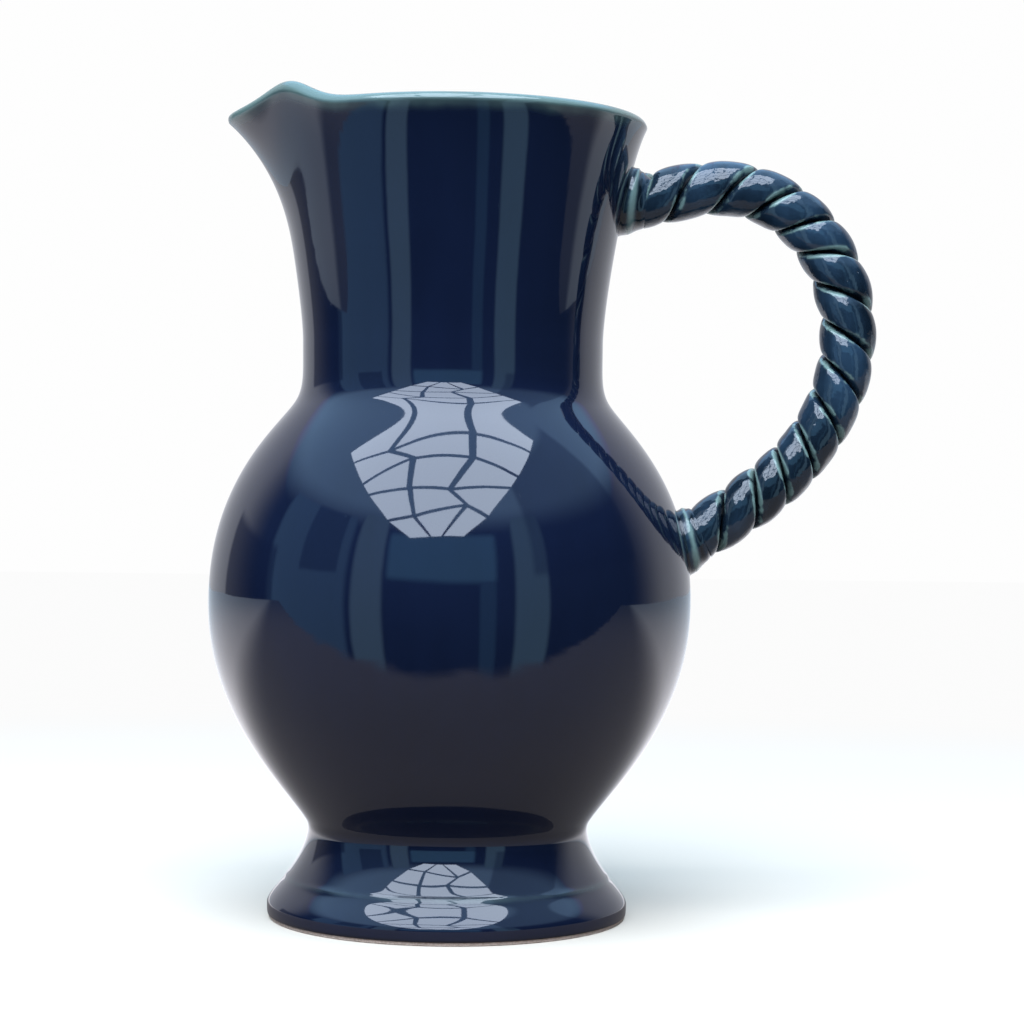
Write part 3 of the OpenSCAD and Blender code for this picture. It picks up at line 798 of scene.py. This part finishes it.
# What the glaze mirrors, by direction in degrees: around from the front, up from level. A panel either
# lights its patch of the room or dims it to a share
roomPanels = {
    "ceiling": {"around": (-180, 180), "up": (34, 90), "soft": 14, "light": (0.78, 1.3, 1.95)},
    "leftWall": {"around": (-96, -50), "up": (-80, 90), "soft": 4, "light": (0.26, 0.52, 0.85)},
    "leftCurtain": {"around": (-47, -32), "up": (-80, 90), "soft": 3, "light": (0.50, 0.85, 1.15)},
    "farWall": {"around": (-30, 22), "up": (8, 28), "soft": 4, "light": (0.28, 0.70, 1.15)},
    "doorFrame": {"around": (31, 47), "up": (-80, 60), "soft": 3, "light": (0.44, 0.80, 1.08)},
    "innerEdge": {"around": (14, 22), "up": (-60, 16), "soft": 3, "light": (0.12, 0.3, 0.5)},
    "picture": {"around": (-76, -55), "up": (9, 33), "soft": 2, "dims": 0.35},
    "sideDoor": {"around": (-132, -92), "up": (-70, 14), "soft": 3, "dims": 0.3},
    "cupboard": {"around": (40, 100), "up": (10, 60), "soft": 4, "dims": 0.5},
}
window = {
    "centre": -0.12, "low": (0.2, -1.03, 0.61), "high": (0.88, -0.10, 1.42), "across": 3, "down": 5,
    "bar": 0.12, "uneven": 0.22, "light": (0.70, 0.82, 1.0, 1.0), "strength": 10.5,
}
cameraPlace = {"at": (0.0, -0.783, 0.1346), "aim": (0.0192, 0.0, 0.1273), "lens": 87.2, "roll": 0.67}


def makeFloor():
    half = studio["floorSize"] / 2
    mesh = bpy.data.meshes.new("floor")
    mesh.from_pydata([(-half, -half, 0), (half, -half, 0), (half, half, 0), (-half, half, 0)], [],
                     [(0, 1, 2, 3)])
    floor = bpy.data.objects.new("floor", mesh)
    bpy.context.scene.collection.objects.link(floor)
    material = bpy.data.materials.new("paleFloor")
    material.use_nodes = True
    tree = material.node_tree
    tree.nodes.clear()
    where = addNode(tree, "ShaderNodeTexCoord").outputs["Object"]
    seen = addNode(tree, "ShaderNodeLightPath").outputs["Is Camera Ray"]
    away = ramp(tree, vectorCalc(tree, "LENGTH", where), studio["fadeFrom"], studio["fadeTo"])
    # For rays other than the camera's the floor is a warm brown, up to four times brighter towards the back
    # and see-through past a frayed front edge: a painted reflection of a table on the glaze's lower half
    toBack = split(tree, where)[1]
    brighter = ramp(tree, toBack, 0.0, 0.2, 1.0, 4.0)
    bounce = vectorCalc(tree, "SCALE", studio["floorBounce"], brighter)
    near = addNode(tree, "ShaderNodeBsdfDiffuse")
    feed(tree, near.inputs["Color"], blendColors(tree, seen, bounce, studio["floorWhite"]))
    far = addNode(tree, "ShaderNodeEmission")
    feed(tree, far.inputs["Strength"], studio["farGlow"])
    frayed = calc(tree, "ADD", toBack, calc(tree, "MULTIPLY", noise(tree, where, 9.0), 0.1))
    pastEdge = ramp(tree, frayed, studio["tableEdge"] + 0.02, studio["tableEdge"] + 0.07, 1.0, 0.0)
    offTable = calc(tree, "MULTIPLY", pastEdge, calc(tree, "SUBTRACT", 1.0, seen))
    fading = blendShaders(tree, calc(tree, "MULTIPLY", away, seen), near.outputs[0], far.outputs[0])
    clear = addNode(tree, "ShaderNodeBsdfTransparent")
    edged = blendShaders(tree, offTable, fading, clear.outputs[0])
    tree.links.new(edged, addNode(tree, "ShaderNodeOutputMaterial").inputs["Surface"])
    mesh.materials.append(material)


# White where the camera looks past the pitcher; what the glaze mirrors is the dim room and its panels
def makeRoom():
    world = bpy.data.worlds.new("room")
    bpy.context.scene.world = world
    world.use_nodes = True
    tree = world.node_tree
    tree.nodes.clear()
    toRight, toBack, toTop = split(tree, addNode(tree, "ShaderNodeTexCoord").outputs["Generated"])
    inDegrees = 180 / math.pi
    around = calc(tree, "MULTIPLY", calc(tree, "ARCTAN2", toRight, calc(tree, "MULTIPLY", toBack, -1.0)),
                  inDegrees)
    up = calc(tree, "MULTIPLY", calc(tree, "ARCSINE", toTop), inDegrees)
    sides = ramp(tree, calc(tree, "ABSOLUTE", calc(tree, "ADD", around, 4.0)), 97, 127)
    light = vectorCalc(tree, "ADD", studio["roomDark"], vectorCalc(tree, "SCALE", studio["sides"], sides))
    for panel in roomPanels.values():
        soft = panel["soft"] / 2
        share = 1.0
        for value, (low, high) in ((around, panel["around"]), (up, panel["up"])):
            share = calc(tree, "MULTIPLY", share, ramp(tree, value, low - soft, low + soft))
            share = calc(tree, "MULTIPLY", share, ramp(tree, value, high - soft, high + soft, 1.0, 0.0))
        if "light" in panel:
            light = vectorCalc(tree, "MAXIMUM", light, vectorCalc(tree, "SCALE", panel["light"], share))
        else:
            dimmed = ramp(tree, share, 0.0, 1.0, 1.0, panel["dims"], smooth=False)
            light = vectorCalc(tree, "SCALE", light, dimmed)
    room = addNode(tree, "ShaderNodeBackground")
    feed(tree, room.inputs["Color"], light)
    white = addNode(tree, "ShaderNodeBackground")
    feed(tree, white.inputs["Color"], (1.0, 1.0, 1.0, 1.0))
    feed(tree, white.inputs["Strength"], studio["backdrop"])
    seen = addNode(tree, "ShaderNodeLightPath").outputs["Is Camera Ray"]
    both = blendShaders(tree, seen, room.outputs[0], white.outputs[0])
    tree.links.new(both, addNode(tree, "ShaderNodeOutputWorld").inputs["Surface"])


# A leaning window of uneven panes, wider towards its top
def makeWindow():
    low, high, bar = np.array(window["low"]), np.array(window["high"]), window["bar"] / 2
    points, faces = [], []
    across, down = window["across"], window["down"]
    for i in range(across):
        for j in range(down):
            for right, top in ((0, 0), (1, 0), (1, 1), (0, 1)):
                u, v = i + right, j + top
                lean = window["uneven"] * math.sin(2.1 * u + 3.7 * v)
                u += lean * (0 < u < across) + (bar if right == 0 else -bar)
                v += lean * (0 < v < down) + (bar if top == 0 else -bar)
                corner = low + (high - low) * v / down
                half = low[0] + (high[0] - low[0]) * (v / down) ** 0.6
                points.append((window["centre"] + half * (2 * u / across - 1), corner[1], corner[2]))
            faces.append(tuple(range(len(points) - 4, len(points))))
    mesh = bpy.data.meshes.new("window")
    mesh.from_pydata(points, [], faces)
    panes = bpy.data.objects.new("window", mesh)
    bpy.context.scene.collection.objects.link(panes)
    panes.visible_camera = False
    material = bpy.data.materials.new("daylight")
    material.use_nodes = True
    tree = material.node_tree
    tree.nodes.clear()
    glow = addNode(tree, "ShaderNodeEmission")
    feed(tree, glow.inputs["Color"], window["light"])
    feed(tree, glow.inputs["Strength"], window["strength"])
    tree.links.new(glow.outputs[0], addNode(tree, "ShaderNodeOutputMaterial").inputs["Surface"])
    mesh.materials.append(material)


def aimed(at, aim):
    return (Vector(aim) - Vector(at)).to_track_quat("-Z", "Y")


def addCamera():
    camera = bpy.data.objects.new("camera", bpy.data.cameras.new("camera"))
    camera.location = cameraPlace["at"]
    roll = Quaternion((0, 0, 1), math.radians(cameraPlace["roll"]))
    camera.rotation_euler = (aimed(cameraPlace["at"], cameraPlace["aim"]) @ roll).to_euler()
    camera.data.lens = cameraPlace["lens"]
    camera.data.sensor_width = 36
    camera.data.clip_start = 0.05
    bpy.context.scene.collection.objects.link(camera)
    bpy.context.scene.camera = camera


makeFloor()
makeRoom()
makeWindow()
addCamera()
bpy.context.scene.view_settings.view_transform = "Standard"
print("studio lit")
